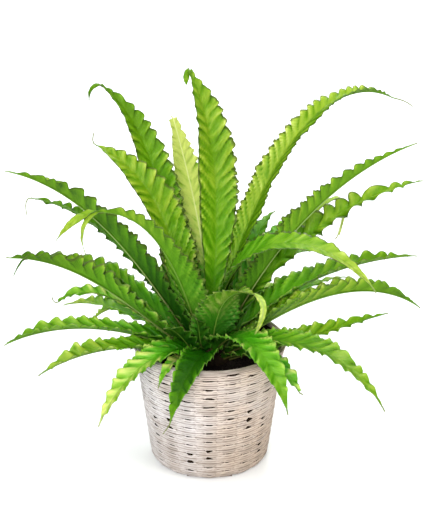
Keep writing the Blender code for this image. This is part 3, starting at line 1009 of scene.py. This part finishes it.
def stake_group(finish):
    """Flat stakes up the inside of the wall, turned in under the pot at the foot."""
    graph, given = geometry_group("basket_stakes", seed=2)
    bar, x, y = graph.grid(5, 33)
    mesh = copies(stored(bar, across=x * 2, share=y + 0.5), STAKES, "stake")
    stake, share, across = graph.attributes("stake", "share", "across")
    run = share * (WALL_RUN - 0.5 * MM) - 0.004
    uneven = noise(stake * 3.7 + share * 4.0 + given.seed, 1.0, 1.0)
    sideways = across * (STAKE_WIDTH * (uneven * 0.1 + 1)) * 0.5
    radius, height = wall_line(run, across * across * (-0.15 * MM) - WALL * 0.5)
    turn = stake * (TURN / STAKES)
    point = vector(
        cos(turn) * radius - sin(turn) * sideways,
        sin(turn) * radius + cos(turn) * sideways,
        most(height, 0.9 * MM),
    )
    mesh = moved(stored(mesh, run=vector(run, sideways, stake)), position=point)
    # painted shade: the stakes are near black
    shell = stored(thickened(mesh, STAKE_THICK), hidden=1.0)
    return closed_group(covered(shell, finish), smooth=False)


def base_group(finish):
    """The basket's floor: splints woven over and under each other, cut to a disc."""
    graph, given = geometry_group("basket_floor", radius=FLOOR_RADIUS)
    bar, x, y = graph.grid(5, 61)
    mesh = copies(stored(bar, across=x * 2, share=y * 2), 2 * SPLINTS, "splint")
    splint, share, across = graph.attributes("splint", "share", "across")
    crossing = splint > SPLINTS - 0.5
    number = splint - crossing * SPLINTS
    pitch = given.radius * 2 / SPLINTS
    offset = (number - (SPLINTS - 1) / 2) * pitch
    aside = offset + across * pitch * 0.44
    reach = most(given.radius ** 2 - offset * offset, 1e-5) ** 0.5
    on = share * reach
    lift = cos((on / pitch + number + crossing) * math.pi) * (0.35 * MM) + 0.55 * MM
    point = vector(on * (1 - crossing) + aside * crossing, aside * (1 - crossing) + on * crossing, lift)
    mesh = moved(stored(mesh, run=vector(on, aside, splint)), position=point)
    # painted shade on the floor's splints
    shell = stored(thickened(mesh, SPLINT_THICK, (0, 0, 1)), hidden=0.35)
    return closed_group(covered(shell, finish), smooth=False)


def hoop_group(finish):
    """The strands that close the top: two outside, one laid on the edge and two inside."""
    graph, given = geometry_group("basket_hoop", seed=3)
    strip, x, y = graph.grid(STAKES * ROUND_STEPS + 1, 13)
    mesh = copies(stored(strip, round=x + 0.5, section=(y + 0.5) * TURN), 5, "strand", -2)
    strand, turn, around = graph.attributes("strand", "round", "section")
    turn = turn * TURN
    circle = round_the_wall(turn, 1.0, strand * 9.1 + given.seed)
    uneven = noise(circle, 3.4)
    ragged = noise(circle, 14.0)
    low = size(strand) > 1.5
    valley = size(sin(around * 3 + uneven * 1.5))
    ridged = valley * 0.2 + 0.88
    tall = (0.95 * MM + uneven * (0.25 * MM) + low * (0.15 * MM)) * ridged
    deep = (0.95 * MM + ragged * (0.15 * MM)) * ridged
    inward = straight(strand, -1.0, 1.0, 0.2, 5.2)
    middle = BASKET_HEIGHT + (uneven * 0.5 + ragged * 0.2 - 1.2 - low * 1.9) * MM
    middle = middle + (size(strand) < 0.5) * (0.5 * MM)
    radius = RIM_RADIUS + (uneven * 0.2 - inward) * MM + deep * cos(around)
    under = ramp(sin(around), -0.8, -0.2, 1.0, 0.0)
    mesh = stored(
        mesh,
        run=vector(turn * RIM_RADIUS, around * (1.2 * MM), strand),
        # painted shade, darker on the strands further in
        hidden=ramp(strand, -0.5, 2.0, 0.0, 0.35),
        # painted shade in the valleys between the ridges and under each strand
        groove=most(ramp(valley, 0.1, 0.6, 1.0, 0.0), under),
    )
    mesh = moved(mesh, position=round_the_wall(turn, radius, middle + tall * sin(around)))
    return closed_group(covered(welded(mesh, 2e-5), finish))


def grow_basket():
    wash = whitewash_finish()
    sets = [f"basket_stakes_{number}" for number in range(1, 5)]
    for name, make, slot, nodes in (
        ("woven_wall", weave_group, "weave", ["basket_wall"]),
        ("flat_stakes", stake_group, "stakes", sets),
        ("crossed_splints", base_group, "stakes", ["basket_floor"]),
        ("rim_strands", hoop_group, "hoop", ["basket_hoop"]),
    ):
        point = mesh_of(name, [(0, 0, 0)])      # the tree grows the whole piece from its own numbers
        stands_for(grown(name, point, make(wash)), slot, *nodes)


grow_basket()


# -------------------- pot, soil and root crown


def turned(name, outline, steps, finish):
    """A closed mesh turned from an outline of radius and height that begins and ends on the axis."""
    verts = []
    faces = []
    rings = []
    for radius, height in outline:
        if radius < 1e-6:
            rings.append([len(verts)] * steps)
            verts.append((0, 0, height))
        else:
            rings.append(list(range(len(verts), len(verts) + steps)))
            for k in range(steps):
                turn = TURN * k / steps
                verts.append((radius * math.cos(turn), radius * math.sin(turn), height))
    for low, high in zip(rings, rings[1:]):
        for k in range(steps):
            corners = (low[k], low[(k + 1) % steps], high[(k + 1) % steps], high[k])
            faces.append(tuple(dict.fromkeys(corners)))
    mesh = mesh_of(name, verts, faces=faces, finish=finish)
    mesh.shade_smooth()
    return mesh


def grow_pot():
    plastic = plain_finish(
        "pot_plastic", (0.010, 0.010, 0.009), (0.028, 0.024, 0.020), 60.0, 0.45, 0.05 * MM, 0.4
    )
    foot, top = POT_REST, POT_REST + POT_HEIGHT
    shelf = top - 0.016
    lip = POT_TOP_RADIUS + POT_LIP
    below_lip = POT_FOOT_RADIUS + POT_SLOPE * (POT_HEIGHT - 0.018)
    outline = [
        (0, foot + 0.003),
        (0.020, foot + 0.003),
        (0.022, foot),
        (POT_FOOT_RADIUS - 0.002, foot),
        (POT_FOOT_RADIUS, foot + 0.002),
        (below_lip, shelf - 0.001),
        (POT_TOP_RADIUS + 0.0012, shelf),
        (POT_TOP_RADIUS + 0.0016, top - 0.004),
        (lip, top - 0.0034),
        (lip, top - 0.0008),
        (lip - 0.0008, top),
        (POT_TOP_RADIUS + 0.0004, top - 0.0004),
        (POT_TOP_RADIUS - 0.0002, shelf + 0.0004),
        (below_lip - POT_WALL, shelf - 0.002),
        (POT_FOOT_RADIUS - POT_WALL, foot + 0.0045),
        (0, foot + 0.0045),
    ]
    pot = placed("nursery_pot", turned("nursery_pot", outline, 96, plastic))
    stands_for(pot, "pot", "grower_pot")


def soil_group(earth):
    """Loose mix: crumbs of bark and peat heaped on a rough bed."""
    graph, given = geometry_group("potting_mix", crumbs=CRUMBS)
    place = graph.build("InputPosition")
    top = ramp(place.part("Z"), SOIL_TOP - 0.006, SOIL_TOP - 0.003)
    rough = noise(place, 90.0, 3.0) * 1.3 * MM * top
    bed = moved(given.geometry, offset=vector(0.0, 0.0, rough))
    points = graph.build(
        "DistributePointsOnFaces", bed, Density=given.crumbs, Selection=top > 0.9, Seed=5
    )
    crumb = graph.build("MeshIcoSphere", 1.0, 1, out="Mesh")
    scale = graph.random(6, (0.0006, 0.0006, 0.0004), (0.0034, 0.0024, 0.0018))
    spin = graph.random(7, (0, 0, 0), (TURN, TURN, TURN))
    crumbs = spread(points, crumb, spin, scale)
    dent = noise(place, 1400.0, 1.0)
    crumbs = moved(crumbs, offset=vector(dent * (0.3 * MM), dent * (0.3 * MM), dent * (0.2 * MM)))
    return closed_group(covered(joined(bed, crumbs), earth), smooth=False)


def grow_soil():
    # Near black: the mix's own dark colour with painted shade over it, for the shade under the fronds.
    earth = plain_finish(
        "potting_mix", (0.002, 0.0016, 0.0012), (0.014, 0.009, 0.006), 350.0, 0.95, 0.3 * MM
    )
    edge = SOIL_TOP - 0.003
    foot_radius = POT_FOOT_RADIUS - 0.003
    edge_radius = foot_radius + POT_SLOPE * (edge - 0.006)
    outline = [(0, POT_REST + 0.006), (foot_radius, POT_REST + 0.006), (edge_radius, edge)]
    rings = 26
    for k in range(1, rings):
        share = k / rings
        outline.append((edge_radius * (1 - share), edge + 0.0018 * math.sin(share * math.pi / 2)))
    outline.append((0, SOIL_TOP - 0.001))
    bed = turned("soil_bed", outline, 120, earth)
    stands_for(grown("loose_mix", bed, soil_group(earth)), "soil", "potting_mix")


def crown_group(dry):
    """A short rhizome under overlapping papery scales."""
    graph, given = geometry_group("root_crown", scales=SCALES)
    points, normal = graph.terms(
        "GeometryNodeDistributePointsOnFaces", ["Points", "Normal"],
        given.geometry, Density=given.scales, Seed=9,
    )
    scale, x, y = graph.grid(3, 5)
    y = y + 0.5
    narrow = maths("SQRT", most(1.02 - y, 0.0))
    curl = y * y * 2.2 * MM + x * x * (-3.0 * MM)
    scale = moved(scale, position=vector(x * narrow * (3.4 * MM), y * (9.0 * MM), curl))
    tilt = graph.term(
        "FunctionNodeAxesToRotation", normal + (0.0, 0.0, 0.25), (0.0, 0.0, 1.0),
        primary_axis="Z", secondary_axis="Y",
    )
    large = graph.random(10, 0.6, 1.2)
    scales = thickened(spread(points, scale, tilt, vector(large, large, large)), 0.2 * MM)
    return closed_group(covered(joined(given.geometry, scales), dry), smooth=False)


def grow_crown():
    # Dark brown: the scales' own dry colour with painted shade over it, for the shade in the heart.
    dry = plain_finish(
        "dry_scales_and_shade", (0.006, 0.004, 0.002), (0.030, 0.018, 0.009), 120.0, 0.85, 0.2 * MM
    )
    foot = SOIL_TOP - 0.001
    radius = CROWN_RADIUS - 0.002
    widest = math.acos((foot - CROWN_CENTRE) / radius)
    steps = 10
    outline = [(0, foot)]
    for k in range(steps + 1):
        turn = widest * (1 - k / steps)
        outline.append((radius * math.sin(turn), CROWN_CENTRE + radius * math.cos(turn)))
    dome = turned("dome", outline, 48, dry)
    stands_for(grown("scaly_rhizome", dome, crown_group(dry)), "rhizome", "root_crown")


grow_pot()
grow_soil()
grow_crown()


# -------------------- floor, light and camera


def floor():
    made, graph, shader = finish_graph("pale_floor")
    grey = ramp(noise(object_place(graph), 3.0), -1, 1, 0.88, 0.92)
    graph.fill_all(shader, Base_Color=grey, Roughness=0.9)
    side = 12.0
    corners = [(-side, -side, 0), (side, -side, 0), (side, side, 0), (-side, side, 0)]
    ground = placed("floor", mesh_of("floor", corners, faces=[(0, 1, 2, 3)], finish=made))


def light(name, kind, place, aim, power, colour):
    lamp = bpy.data.lights.new(name, kind)
    lamp.energy = power
    lamp.color = colour
    made = placed(name, lamp)
    made.location = place
    made.rotation_euler = (Vector(aim) - Vector(place)).to_track_quat("-Z", "Y").to_euler()
    return lamp


def studio():
    world = bpy.data.worlds.new("studio")
    world.use_nodes = True
    graph = Graph(world.node_tree)
    seen = graph.term("ShaderNodeLightPath", out="Is Camera Ray")
    back = world.node_tree.nodes["Background"]
    graph.fill_all(back, Color=(1.0, 1.0, 1.0), Strength=seen * 0.45 + 0.55)
    bpy.context.scene.world = world
    bpy.context.scene.view_settings.view_transform = "Standard"
    for name, place, softness, power, colour in (
        ("key", (-0.25, -1.9, 1.05), 24, 2.7, (1, 1, 1)),
        ("right", (1.2, -1.3, 1.7), 30, 0.9, (1, 1, 1)),
        ("left", (-2.0, -0.7, 0.8), 30, 0.7, (0.80, 0.90, 1.0)),
    ):
        light(name, "SUN", place, (0, 0, 0), power, colour).angle = math.radians(softness)
    sky = light("sky", "AREA", (0.2, 1.3, 1.9), (0, 0, 0.25), 44, (0.92, 0.96, 1.0))
    sky.shape = "DISK"
    sky.size = 1.0


def camera():
    lens = bpy.data.cameras.new("camera")
    lens.lens = 116
    made = placed("camera", lens)
    target = Vector((0.0038, 0, 0.2665))
    elevation = math.radians(22)
    distance = 2.0
    made.location = target + distance * Vector((0, -math.cos(elevation), math.sin(elevation)))
    made.rotation_euler = (math.pi / 2 - elevation, 0, 0)
    bpy.context.scene.camera = made


floor()
studio()
camera()
